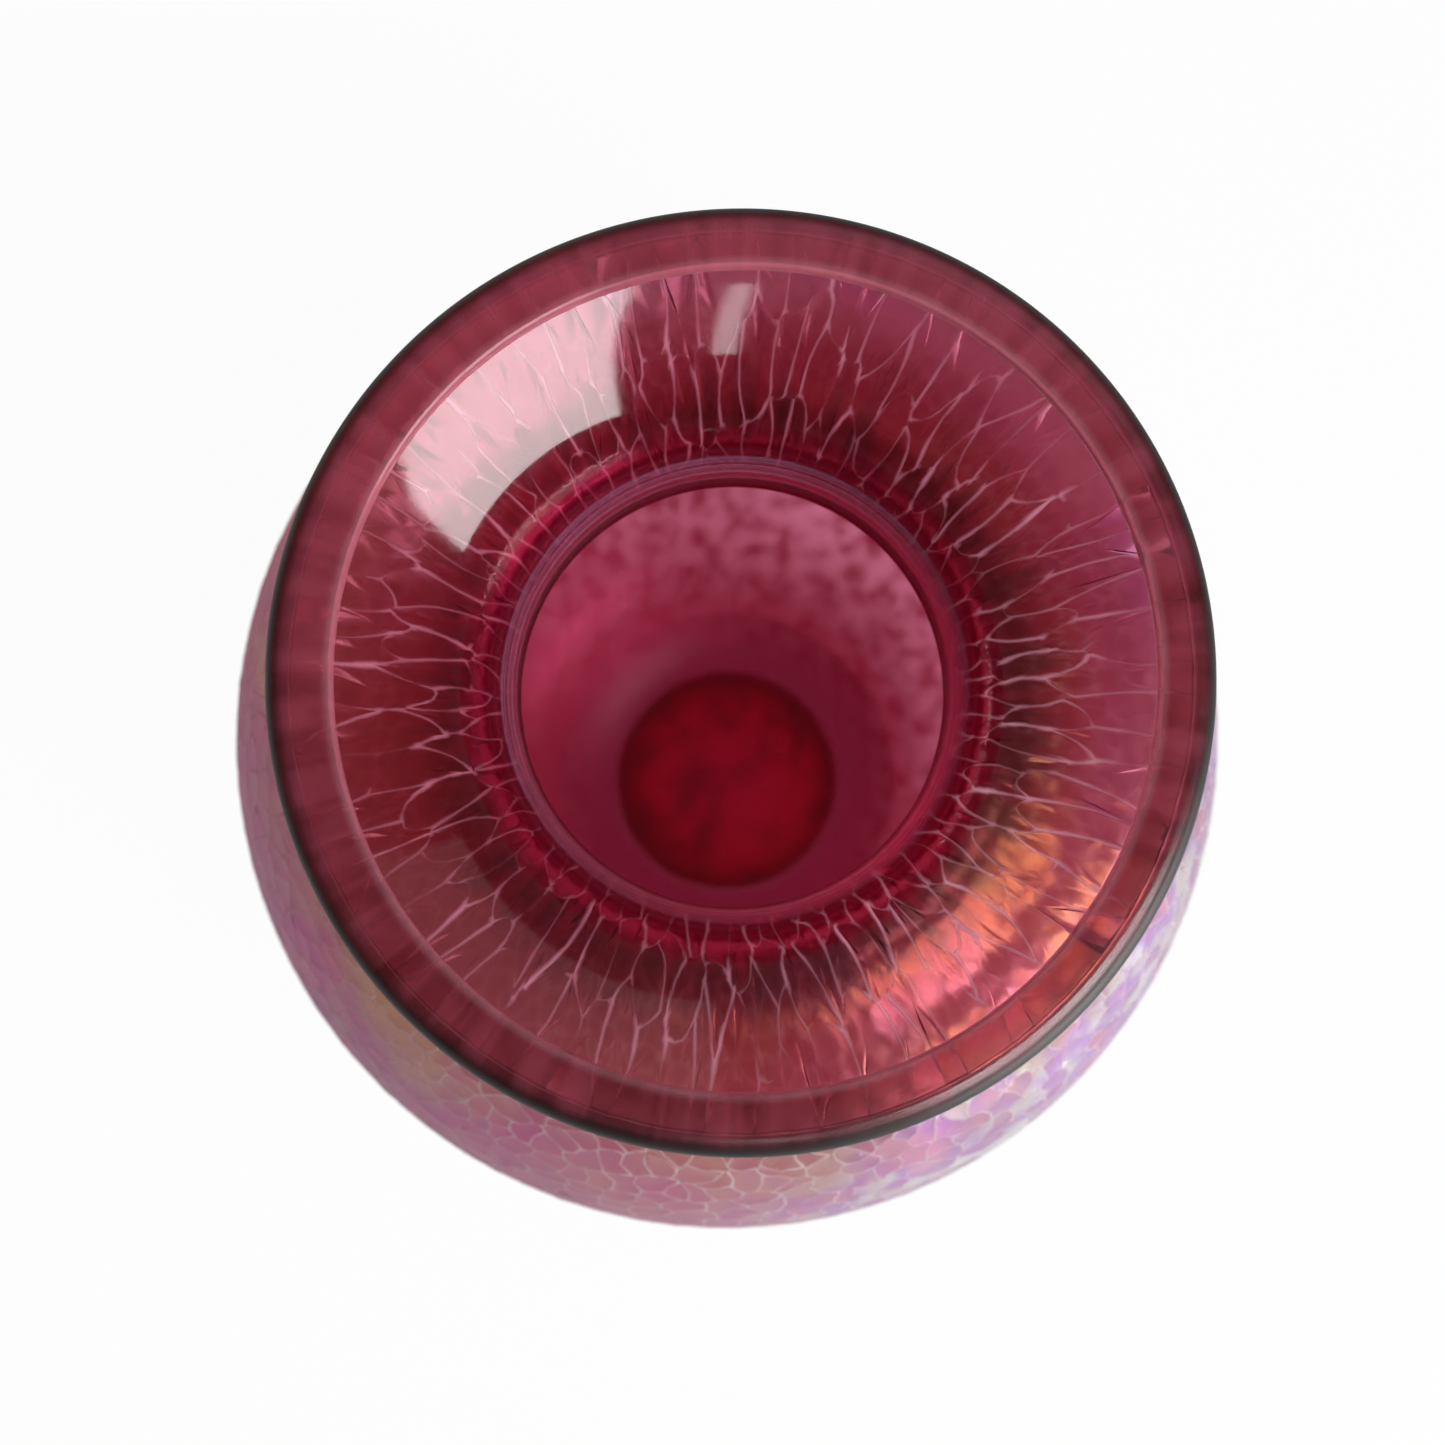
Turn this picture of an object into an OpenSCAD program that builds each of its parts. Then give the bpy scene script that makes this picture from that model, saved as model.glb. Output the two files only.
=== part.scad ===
// Hand blown glass vase: a thin ruby bubble cased in clear crystal, with a crackled lustre skin
// outside, a bell-shaped mouth with a wrapped lip, and a ground base with a polished pontil.
// Lengths are in millimetres. The vase stands on z = 0, with its axis on Z.

/* [Overall] */
// Height from the table to the top of the lip
total_h = 168; // [150:1:200]
// Outside diameter of the body at its widest
body_d = 137; // [126:1:160]
// Height of the widest part of the body above the table
belly_h = 92; // [80:1:100]

/* [Mouth] */
// Outside diameter of the lip
rim_d = 110; // [100:1:126]
// Clear diameter of the neck at its narrowest
neck_bore = 52; // [44:1:60]
// Depth of the narrowest part of the neck below the top of the lip
neck_depth = 24; // [18:1:32]
// Outside radius of the hollow between the neck and the shoulder
neck_round = 12; // [8:0.5:14]
// Extra clear glass gathered round the outside of the neck
neck_gather = 1.2; // [0:0.1:2.5]
// Angle through which the bell turns outwards from the neck to the rim
bell_turn = 70; // [55:1:80]

/* [Glass layers] */
// Thickness of the ruby bubble
ruby_t = 1.3; // [0.8:0.1:2]
// Thickness of the clear casing at the belly and the rim
casing_t = 2.2; // [1.5:0.1:4]
// Thickness of the crackled skin
skin_t = 0.5; // [0.3:0.1:1]

/* [Lip wrap] */
// Width of the flat band on top of the rim, from its inner edge to the outside of the lip
band_w = 7.4; // [5:0.2:9]
// Thickness of the wrap over the end of the wall
wrap_t = 1; // [0.6:0.1:2]
// Rounding of the inner edge of the band
band_round = 0.6; // [0.3:0.1:0.8]

/* [Base] */
// Diameter of the ground ring that the vase stands on
foot_d = 56; // [50:1:68]
// Rounding between the side and the ground base
heel_round = 12; // [8:0.5:16]
// Depth ground off the casing under the base
base_grind = 0.4; // [0.2:0.1:1]
// Height above the table at which the grinding leaves the skin
skin_lift = 0.6; // [0.3:0.1:1.5]
// Thickness of the glass under the middle of the cavity
base_t = 11; // [9:0.5:16]
// Diameter of the level floor of the cavity
floor_d = 32; // [24:1:40]
// Rounding between the floor of the cavity and its wall
floor_round = 28; // [20:1:34]

/* [Pontil] */
// Diameter of the pontil disc
pontil_d = 38; // [30:1:42]
// Depth of the seat for the pontil disc, from the table up
pontil_seat = 4.5; // [4:0.1:6]
// Height of the edge of the pontil disc above the table
pontil_lift = 0.5; // [0.3:0.1:1]
// Depth of the polished hollow under the pontil disc
pontil_hollow = 2; // [1:0.1:2.4]

/* [Hidden] */
$fn = 120;
// Largest turn between two points of a round stretch, in degrees
arc_step = 3;
// Heights that the stretches of the wall meet at
neck_z = total_h - neck_depth;
rim_z = total_h - wrap_t;
// Radii of the lip: the wall ends at the middle of the lip's round edge
lip_t = wrap_t + ruby_t + casing_t + skin_t;
wall_end_r = rim_d / 2 - lip_t / 2;
band_r = rim_d / 2 - band_w;
// Turn of the bell at the inner edge of the band, on the cavity's own surface
bore_r = neck_bore / 2;
bell_reach = (wall_end_r - bore_r) / (1 - cos(bell_turn));
band_turn = acos(1 - (band_r - bore_r) / bell_reach);
// Height of the unground base under the skin, and the radius at which its heel begins
raw_base_z = -(skin_t + base_grind);
heel_r = foot_d / 2 - sqrt((heel_round - skin_t) ^ 2 - (heel_round + raw_base_z) ^ 2);
// Distance from the cavity to the inside and to the outside of the casing
casing_in = ruby_t;
casing_out = ruby_t + casing_t;
cavity_r = body_d / 2 - casing_out - skin_t;
// Room kept round a cutting shape
cut_room = 5;

// Points of a round or oval stretch about c, after its first point
function sweep(c, rx, ry, from, to) =
    let (steps = ceil(abs(to - from) / arc_step))
    [for (i = [1 : steps])
        let (a = from + (to - from) * i / steps)
        c + [rx * cos(a), ry * sin(a)]];

// Radius of the arc that leaves the belly upright and runs smoothly into a rounding:
// the rounding's centre lies dr and dz from the belly, and its radius f is negative inside the arc
function blend_radius(dr, dz, f) = (dr ^ 2 + dz ^ 2 - f ^ 2) / (2 * (f - dr));

// Outline from the edge of a level floor up to the belly
function bowl_line(belly_r, floor_r, floor_z, round_r) =
    let (
        heel = [floor_r, floor_z + round_r],
        side_r = blend_radius(floor_r - belly_r, belly_h - heel.y, -round_r),
        side = [belly_r - side_r, belly_h],
        meet = atan2(heel.y - side.y, heel.x - side.x)
    )
    concat([[floor_r, floor_z]],
        sweep(heel, round_r, round_r, -90, meet),
        sweep(side, side_r, side_r, meet, 0));

// Outline from the belly up to the narrowest part of the neck
function shoulder_line(belly_r, neck_r, round_r) =
    let (
        hollow = [neck_r + round_r, neck_z],
        side_r = blend_radius(hollow.x - belly_r, neck_z - belly_h, round_r),
        side = [belly_r - side_r, belly_h],
        meet = atan2(hollow.y - side.y, hollow.x - side.x)
    )
    concat(sweep(side, side_r, side_r, 0, meet),
        sweep(hollow, round_r, round_r, meet + 180, 180));

// Stretch of the bell between two turns, on the surface that starts at neck_r and ends at end_z
function bell_line(neck_r, end_z, from, to) =
    let (
        reach = (wall_end_r - neck_r) / (1 - cos(bell_turn)),
        rise = (end_z - neck_z) / sin(bell_turn)
    )
    sweep([neck_r + reach, neck_z], reach, rise, 180 - from, 180 - to);

// Whole outline of a surface at a distance from the cavity, from the floor's edge to the rim
function wall_line(depth, belly_r, neck_r, round_r, floor_r, floor_z, floor_round_r) =
    concat(bowl_line(belly_r, floor_r, floor_z, floor_round_r),
        shoulder_line(belly_r, neck_r, round_r),
        bell_line(neck_r, rim_z - depth, 0, band_turn),
        bell_line(neck_r, rim_z - depth, band_turn, bell_turn));

// Surface in or under the ruby bubble, which keeps one thickness
function bubble_line(depth) =
    wall_line(depth, cavity_r + depth, bore_r + depth, neck_round + casing_out - depth,
        floor_d / 2, base_t - depth, floor_round + depth);

// Surface of the casing or of the skin on it, with the heavy base and the gathered neck
function outside_line(skin) =
    wall_line(casing_out + skin, cavity_r + casing_out + skin, bore_r + casing_out + neck_gather + skin,
        neck_round - skin, heel_r, raw_base_z + skin_t - skin, heel_round - skin_t + skin);

// Points in the opposite order, and the last one
function backwards(points) = [for (i = [len(points) - 1 : -1 : 0]) points[i]];
function last(points) = points[len(points) - 1];

// Glass between two surfaces that both reach the axis
module vessel(inner, outer) {
    rotate_extrude()
        polygon(concat([[0, inner[0].y]], inner, backwards(outer), [[0, outer[0].y]]));
}

// Everything below a height, which the grinding takes away
module ground_off(height) {
    translate([0, 0, raw_base_z - cut_room])
        cylinder(h = cut_room - raw_base_z + height, d = body_d);
}

// Inner bubble of ruby glass, which lines the whole cavity and the bell
module ruby_bubble() {
    color("#8c1035")
        vessel(bubble_line(0), bubble_line(casing_in));
}

// Clear gather over the bubble, thick in the base, ground level underneath
module crystal_casing() {
    color("#d9a3b4")
        difference() {
            vessel(bubble_line(casing_in), outside_line(0));
            ground_off(0);
            translate([0, 0, -cut_room])
                cylinder(h = cut_room + pontil_seat, d = pontil_d);
        }
}

// Crackled lustre skin on the outside, ground away under the base and just above it
module crackle_skin() {
    color("#b98a9c")
        difference() {
            rotate_extrude()
                polygon(concat(outside_line(0), backwards(outside_line(skin_t))));
            ground_off(skin_lift);
        }
}

// Band of glass wrapped over the end of the wall, with a round outer edge
module lip_wrap() {
    edge = [wall_end_r, total_h - lip_t / 2];
    inner_edge = [band_r + band_round, total_h - band_round];
    seat_start = last(bell_line(bore_r, rim_z, 0, band_turn));
    color("#6b2740")
        rotate_extrude()
            polygon(concat([seat_start], bell_line(bore_r, rim_z, band_turn, bell_turn),
                [[wall_end_r, total_h - lip_t]],
                sweep(edge, lip_t / 2, lip_t / 2, -90, 90),
                [[inner_edge.x, total_h]],
                sweep(inner_edge, band_round, band_round, 90, 180)));
}

// Glass left by the punty, seated in the base and polished hollow underneath
module pontil_disc() {
    hollow_r = ((pontil_d / 2) ^ 2 + pontil_hollow ^ 2) / (2 * pontil_hollow);
    color("#c0122c")
        difference() {
            translate([0, 0, pontil_lift])
                cylinder(h = pontil_seat - pontil_lift, d = pontil_d);
            translate([0, 0, pontil_lift + pontil_hollow - hollow_r])
                sphere(r = hollow_r);
        }
}

ruby_bubble();
crystal_casing();
crackle_skin();
lip_wrap();
pontil_disc();
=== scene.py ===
import math

import bmesh
import bpy
import numpy as np
from bpy.props import FloatProperty, FloatVectorProperty, IntProperty, PointerProperty
from mathutils import Matrix, Vector, geometry


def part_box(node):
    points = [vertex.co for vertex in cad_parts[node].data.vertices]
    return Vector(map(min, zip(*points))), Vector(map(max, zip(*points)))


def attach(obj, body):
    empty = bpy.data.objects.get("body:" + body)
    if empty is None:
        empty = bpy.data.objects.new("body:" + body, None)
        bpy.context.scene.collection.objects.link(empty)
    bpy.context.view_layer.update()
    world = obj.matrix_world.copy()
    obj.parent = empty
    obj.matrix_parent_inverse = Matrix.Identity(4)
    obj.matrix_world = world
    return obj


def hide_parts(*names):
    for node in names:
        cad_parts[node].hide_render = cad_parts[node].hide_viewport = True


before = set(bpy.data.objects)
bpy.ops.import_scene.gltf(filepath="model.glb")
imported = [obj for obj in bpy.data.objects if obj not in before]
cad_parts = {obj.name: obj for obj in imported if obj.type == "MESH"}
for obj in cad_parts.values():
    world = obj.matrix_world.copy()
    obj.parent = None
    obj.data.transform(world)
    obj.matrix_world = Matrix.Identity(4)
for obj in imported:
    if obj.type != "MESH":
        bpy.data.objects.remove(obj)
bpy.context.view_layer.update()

bl_info = {
    "name": "Blown Glass Vase",
    "version": (1, 0, 0),
    "blender": (4, 5, 0),
    "location": "3D View > Sidebar > Vase",
    "description": "Dresses a cased ruby vase with a crackled lustre skin",
    "category": "Object",
}

MM = 0.001
FULL_TURN = 2 * math.pi
PHOTO_PX = 1445
RIM_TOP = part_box("lip_wrap")[1].z
RIM_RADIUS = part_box("lip_wrap")[1].x
PONTIL_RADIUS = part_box("pontil_disc")[1].x
PONTIL_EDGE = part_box("pontil_disc")[0].z
SKIN_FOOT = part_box("crackle_skin")[0].z
# Height above which the vase is neck and mouth
MOUTH_PART = 0.7 * RIM_TOP
NECK_RADIUS, NECK_HEIGHT = min((v.co.xy.length, v.co.z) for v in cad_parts["ruby_bubble"].data.vertices
                               if v.co.z > MOUTH_PART)
BAND_RADIUS = min(v.co.xy.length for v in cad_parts["lip_wrap"].data.vertices)
# Room between two layers that are fused on the real vase, so that their faces never coincide
FUSED_GAP = 0.06 * MM
# Distance below which two places count as one
TOUCH = 1e-6
# Rows of crackle by the lip, where hardly any vein runs across
LIP_ROWS = 0.8

# Heights over which the look of the glass changes, in metres
HAZE_TOP = (0.112, 0.136)
PAINTED_SHADE_WAIST_LOW = (0.130, 0.136)
SCORES_LOW = (0.1435, 0.1445)
SCORES_TOP = (0.1510, 0.1535)
FLECKS_LOW = (-0.008, 0.028)
BOWL_TOP = (0.035, 0.085)
FUMED_TOP = (0.106, 0.132)
BODY_TOP = (0.124, 0.140)
THROAT_LOW = (0.135, 0.145)
THROAT_TOP = (0.153, 0.162)
LIT_SIDE_SHADE_LOW = (0.145, 0.150)
LIT_SIDE_SHADE_TOP = (0.156, 0.160)
FLARE_LOW = (0.151, 0.162)
RINGSIDE_LOW = (0.1575, 0.1612)
UNDER_LIP = (0.1617, 0.1629)
# Directions across the vase in which the look changes
LIT_SIDE = (0.9, -0.43, 0)
BOWL_PAINTED_LIGHT_SIDE = (0.9, 0.43, 0)
LIP_PAINTED_LIGHT_SIDE = (-0.35, 0.94, 0)
# Numbers that materials share
GLASS_IOR = 1.6
FILM_NANOMETRES = (174.0, 222.0, 242.0)
SCORES_PER_METRE = 1700
GROUND_RADIUS = 0.036
PALE_FLECK = (0.95, 0.72, 0.84)
FLECK_STRETCH = (1, 1, 0.6)


# Settings

def number(name, description, default):
    return FloatProperty(name=name, description=description, default=default)


def length(name, description, default):
    return FloatProperty(name=name, description=description, default=default, unit="LENGTH")


def colour(name, description, default):
    return FloatVectorProperty(name=name, description=description, default=default, subtype="COLOR", size=3)


class VaseHand(bpy.types.PropertyGroup):
    """How far the hand-made vase strays from a true turned shape."""

    oval: number("Oval", "Share by which the plan is drawn out of round", 0.003)
    drift: length("Drift", "How far the mouth and the base lie to one side of the body", 0.8 * MM)
    rim_wave: length("Rim wave", "Rise and fall of the lip", 0.3 * MM)
    band_shift: length("Band shift", "How far the inner edge of the lip band lies off centre", 0.5 * MM)
    segments: IntProperty(
        name="Segments", description="Faces round the turned pieces", default=288, min=48)


class VaseCrackle(bpy.types.PropertyGroup):
    """Sizes of the crackle that covers the outside."""

    around: IntProperty(
        name="Cells around", description="Crackle cells round the bell", default=76, min=12)
    body_share: number("Body share", "Crackle cells round the body to one round the bell", 1.5)
    bell_row: length("Bell cell", "Length of a cell on the drawn-out bell", 12.0 * MM)
    neck_row: length("Neck cell", "Length of a cell at the neck", 4.6 * MM)
    body_row: length("Body cell", "Length of a cell on the body", 4.4 * MM)
    jitter: number("Jitter", "How far a cell strays from its even place, in cells", 0.46)
    vein_width: length("Vein width", "Width of a vein between two knots", 1.5 * MM)
    knot_width: length("Knot width", "Width of the web where veins meet", 2.3 * MM)
    vein_height: length("Vein height", "How far a vein stands out", 0.15 * MM)
    pillow: length("Pillow", "How far the middle of a cell swells", 0.06 * MM)
    seed: IntProperty(name="Seed", description="Start of the random draws", default=7)


class VaseGlass(bpy.types.PropertyGroup):
    """Colours of the glass and its skin."""

    ruby: colour("Ruby", "Colour that the ruby glass lets through", (0.84, 0.05, 0.33))
    ruby_density: number("Ruby density", "Absorption of the ruby glass per metre", 480.0)
    casing: colour("Casing", "Colour that the clear casing lets through", (0.84, 0.1, 0.4))
    casing_density: number("Casing density", "Absorption of the clear casing per metre", 75.0)
    lip: colour("Lip", "Colour that the lip's glass lets through", (0.66, 0.05, 0.14))
    lip_density: number("Lip density", "Absorption of the lip's glass per metre", 850.0)
    pontil: colour("Pontil", "Colour that the glass in the base lets through", (0.9, 0.01, 0.14))
    pontil_density: number("Pontil density", "Absorption of the glass in the base per metre", 800.0)
    plate: colour("Plate", "Colour that the skin lets through between its veins", (0.82, 0.14, 0.36))
    vein: colour("Vein", "Colour of the pale veins on the body", (0.95, 0.88, 0.9))
    bell_vein: colour("Bell vein", "Colour of the veins on the bell, under the ruby", (0.88, 0.95, 0.94))
    milk: colour("Milk", "Colour of the haze in the lustre between the veins", (0.92, 0.44, 0.47))


class VaseStage(bpy.types.PropertyGroup):
    """Where the camera stands."""

    tilt: FloatProperty(
        name="Tilt", description="Angle between the line of sight and the axis of the vase",
        default=math.radians(6.55), subtype="ANGLE")
    side: FloatProperty(
        name="Side", description="Turn of the line of sight about the axis",
        default=math.radians(-7.0), subtype="ANGLE")
    reach: length("Reach", "Distance from the camera to the middle of the lip", 6 * RIM_RADIUS)
    focal_px: number("Focal length", "Focal length in pixels of the photograph", 2880.0)
    focus: number("Focus", "Share of the way from the lip to the neck at which the picture is sharp", 0.4)
    f_stop: number("F-stop", "Focal length of the lens to one width of its opening", 18.0)
    rim_px: FloatVectorProperty(
        name="Lip centre", description="Pixel of the photograph where the middle of the lip lies", size=2,
        default=(735.4, 672.8))


class VaseSettings(bpy.types.PropertyGroup):
    """Everything that a user would change."""

    hand: PointerProperty(type=VaseHand)
    crackle: PointerProperty(type=VaseCrackle)
    glass: PointerProperty(type=VaseGlass)
    stage: PointerProperty(type=VaseStage)


def settings():
    """The property groups of the vase."""
    return bpy.context.scene.vase_settings


# Outlines read from the frame

def unit(steps):
    """Rows of vectors, each made one long."""
    return steps / np.linalg.norm(steps, axis=1, keepdims=True)


def cross(first, second):
    """Cross products of plane vectors, row by row."""
    return first[:, 0] * second[:, 1] - first[:, 1] * second[:, 0]


def section(node):
    """Points (radius, height) of a CAD node's half section, in order from its highest point."""
    bm = bmesh.new()
    bm.from_mesh(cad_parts[node].data)
    for across, one_side in (((1, 0, 0), True), ((0, 1, 0), False)):
        made = bmesh.ops.bisect_plane(
            bm, geom=bm.verts[:] + bm.edges[:] + bm.faces[:], dist=1e-7, plane_co=(0, 0, 0), plane_no=across,
            clear_inner=one_side)
    links = {}
    for edge in made["geom_cut"]:
        if isinstance(edge, bmesh.types.BMEdge) and edge.verts[0].co.x + edge.verts[1].co.x > TOUCH:
            a, b = ((round(v.co.x, 6), round(v.co.z, 6)) for v in edge.verts)
            if a != b:
                links.setdefault(a, set()).add(b)
                links.setdefault(b, set()).add(a)
    bm.free()
    ends = [p for p in links if len(links[p]) == 1]
    first = max(ends or links, key=lambda p: (p[1], p[0]))
    line, here, before = [first], first, None
    while True:
        onward = [p for p in links[here] if p != before]
        if not onward or onward[0] == first:
            break
        # A closed outline is walked outwards from its highest point.
        before, here = here, max(onward, key=lambda p: p[0]) if before is None else onward[0]
        line.append(here)
    return without_straights(np.array(line))


def without_straights(line):
    """The line without the points that lie on a straight stretch."""
    step = unit(np.diff(line, axis=0))
    turn = np.abs(cross(step[:-1], step[1:]))
    return line[np.concatenate([[True], turn > 1e-3, [True]])]


def corners_of(line, limit=math.radians(14)):
    """Indices of the points where a line turns sharply, with its two ends."""
    step = np.diff(line, axis=0)
    heading = np.unwrap(np.arctan2(step[:, 1], step[:, 0]))
    sharp = np.flatnonzero(np.abs(np.diff(heading)) > limit) + 1
    return [0, *sharp.tolist(), len(line) - 1]


def distance_along(line):
    """Distance of each point of a line from its start."""
    return np.concatenate([[0], np.cumsum(np.linalg.norm(np.diff(line, axis=0), axis=1))])


def smooth(line, spacing):
    """The line with points about that far apart, rounded between its corners."""
    made = [line[0]]
    turns = corners_of(line)
    for start, end in zip(turns, turns[1:]):
        stretch = line[start:end + 1]
        along = distance_along(stretch)
        slope = np.gradient(stretch, along, axis=0)
        for at in np.linspace(0, along[-1], max(1, round(along[-1] / spacing)) + 1)[1:]:
            i = min(np.searchsorted(along, at) - 1, len(stretch) - 2)
            span = along[i + 1] - along[i]
            t = (at - along[i]) / span
            made.append((2 * t**3 - 3 * t**2 + 1) * stretch[i] + (t**3 - 2 * t**2 + t) * span * slope[i]
                        + (3 * t**2 - 2 * t**3) * stretch[i + 1] + (t**3 - t**2) * span * slope[i + 1])
    return np.array(made)


def cut(line, axis, value):
    """The two lines that a line falls into where its radius (0) or height (1) first crosses a value."""
    beyond = line[:, axis] > value
    i = np.flatnonzero(beyond != beyond[0])[0]
    share = (value - line[i - 1, axis]) / (line[i, axis] - line[i - 1, axis])
    point = line[i - 1] + share * (line[i] - line[i - 1])
    return np.vstack([line[:i], point]), np.vstack([point, line[i:]])


def offset(line, distance):
    """The line moved by a distance to the right of the way that it runs."""
    step = unit(np.gradient(line, axis=0))
    return line + distance * np.column_stack([step[:, 1], -step[:, 0]])


def skin_line():
    """Outside of the crackled skin, from just inside its rim down to its foot."""
    line = section("crackle_skin")
    foot = np.flatnonzero(line[:, 1] < SKIN_FOOT + TOUCH)
    sides = line[:foot.min() + 1], np.vstack([line[foot.max():], line[:1]])[::-1]
    outside = max(sides, key=lambda side: side[-1, 0])
    while outside[1, 0] > outside[0, 0] - TOUCH:
        outside = outside[1:]
    return cut(outside, 0, outside[0, 0] - FUSED_GAP)[1]


# Hand-made shape

def ease(share):
    """0 to 1, smooth at both ends."""
    share = np.clip(share, 0, 1)
    return share * share * (3 - 2 * share)


def hand_made(places):
    """Points of the turned shape, moved a little as a hand-blown piece strays."""
    hand = settings().hand
    x, y, z = places.T
    r, turn = np.hypot(x, y), np.arctan2(y, x)
    height = np.clip(z / RIM_TOP, 0, 1)
    near_band = np.clip(1 - ((r - BAND_RADIUS) / (RIM_RADIUS - BAND_RADIUS)) ** 2, 0, 1) ** 2
    near_band *= np.clip((height - 0.9) / 0.05, 0, 1)
    drift = hand.drift * (ease((z - NECK_HEIGHT) / (RIM_TOP - NECK_HEIGHT)) + 1 - ease(z / (40 * MM)))
    r = r * (1 + hand.oval * np.cos(2 * turn - 1.1 - 1.5 * height)
             + 0.4 * hand.oval * np.cos(3 * turn + 0.7 + 3 * height))
    flare = np.clip((height - 0.86) / 0.14, 0, 1) * np.clip(r / RIM_RADIUS, 0, 1) ** 2
    return np.column_stack([
        r * np.cos(turn) + drift + hand.band_shift * near_band,
        r * np.sin(turn),
        z + hand.rim_wave * flare * (np.cos(2 * turn + 0.5) + 0.5 * np.cos(3 * turn - 1.2))])


def new_object(name, data):
    """Object with that data, linked into the scene."""
    made = bpy.data.objects.new(name, data)
    bpy.context.scene.collection.objects.link(made)
    return made


def new_piece(name, places, faces):
    """Smooth mesh object from points and faces."""
    mesh = bpy.data.meshes.new(name)
    mesh.from_pydata(places.tolist(), [], faces)
    mesh.shade_smooth()
    return new_object(name, mesh)


def give_attribute(piece, name, domain, values):
    """Gives a mesh a named number for each point or face."""
    piece.data.attributes.new(name, "FLOAT", domain).data.foreach_set("value", np.asarray(values, np.float32))


def turned(name, stretches, spacing):
    """Mesh turned from an outline in stretches (points, fused), either closed or from axis to axis."""
    rings, fused = [stretches[0][0][:1]], []
    for points, is_fused in stretches:
        made = smooth(points, spacing * (1.6 if is_fused else 1))
        made = made[1:] if np.allclose(made[0], rings[-1][-1]) else made
        rings.append(made)
        fused += [float(is_fused)] * len(made)
    line = np.vstack(rings)
    closed = line[0, 0] > TOUCH
    caps, rings = ([], line[:-1]) if closed else ([line[0], line[-1]], line[1:-1])
    segments, count = settings().hand.segments, len(rings)
    angles = np.arange(segments) * FULL_TURN / segments
    places = np.stack([rings[:, :1] * np.cos(angles), rings[:, :1] * np.sin(angles),
                       np.repeat(rings[:, 1:], segments, axis=1)], axis=-1).reshape(-1, 3)
    flags = fused if closed else fused[1:-1]
    faces, marks = [], []
    for i, mark in enumerate(flags):
        low, high = i * segments, (i + 1) % count * segments
        for j in range(segments):
            k = (j + 1) % segments
            faces.append((low + j, low + k, high + k, high + j))
            marks.append(mark)
    for cap, ring, mark in zip(caps, (0, count - 1), (fused[0], fused[-1])):
        for j in range(segments):
            faces.append((len(places), ring * segments + j, ring * segments + (j + 1) % segments))
            marks.append(mark)
        places = np.vstack([places, (0, 0, cap[1])])
    piece = new_piece(name, hand_made(places), faces)
    give_attribute(piece, "fused", "FACE", marks)
    give_attribute(piece, "radius", "POINT", np.hypot(places[:, 0], places[:, 1]))
    face_outwards(piece)
    return piece


def face_outwards(piece):
    """Turns every face of a closed mesh to the outside, and keeps sharp corners sharp."""
    bm = bmesh.new()
    bm.from_mesh(piece.data)
    bmesh.ops.recalc_face_normals(bm, faces=bm.faces[:])
    for edge in bm.edges:
        edge.smooth = len(edge.link_faces) == 2 and edge.calc_face_angle(0) < math.radians(25)
    bm.to_mesh(piece.data)
    bm.free()


# Node trees

class Value:
    """A socket of a node tree. Arithmetic on values adds Math nodes."""

    def __init__(self, paint, socket):
        self.paint = paint
        self.socket = socket

    def __add__(self, other):
        return self.paint.maths("ADD", self, other)

    def __sub__(self, other):
        return self.paint.maths("SUBTRACT", self, other)

    def __rsub__(self, other):
        return self.paint.maths("SUBTRACT", other, self)

    def __mul__(self, other):
        return self.paint.maths("MULTIPLY", self, other)

    def __pow__(self, other):
        return self.paint.maths("POWER", self, other)

    __radd__ = __add__
    __rmul__ = __mul__

    def clamp(self):
        """The value held between 0 and 1."""
        return self.paint.add("ShaderNodeClamp", {}, self)

    def ramp(self, low, high):
        """0 below low, 1 above high, and smooth between them."""
        return self.paint.add("ShaderNodeMapRange", {"interpolation_type": "SMOOTHSTEP"}, self, low, high)


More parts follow.
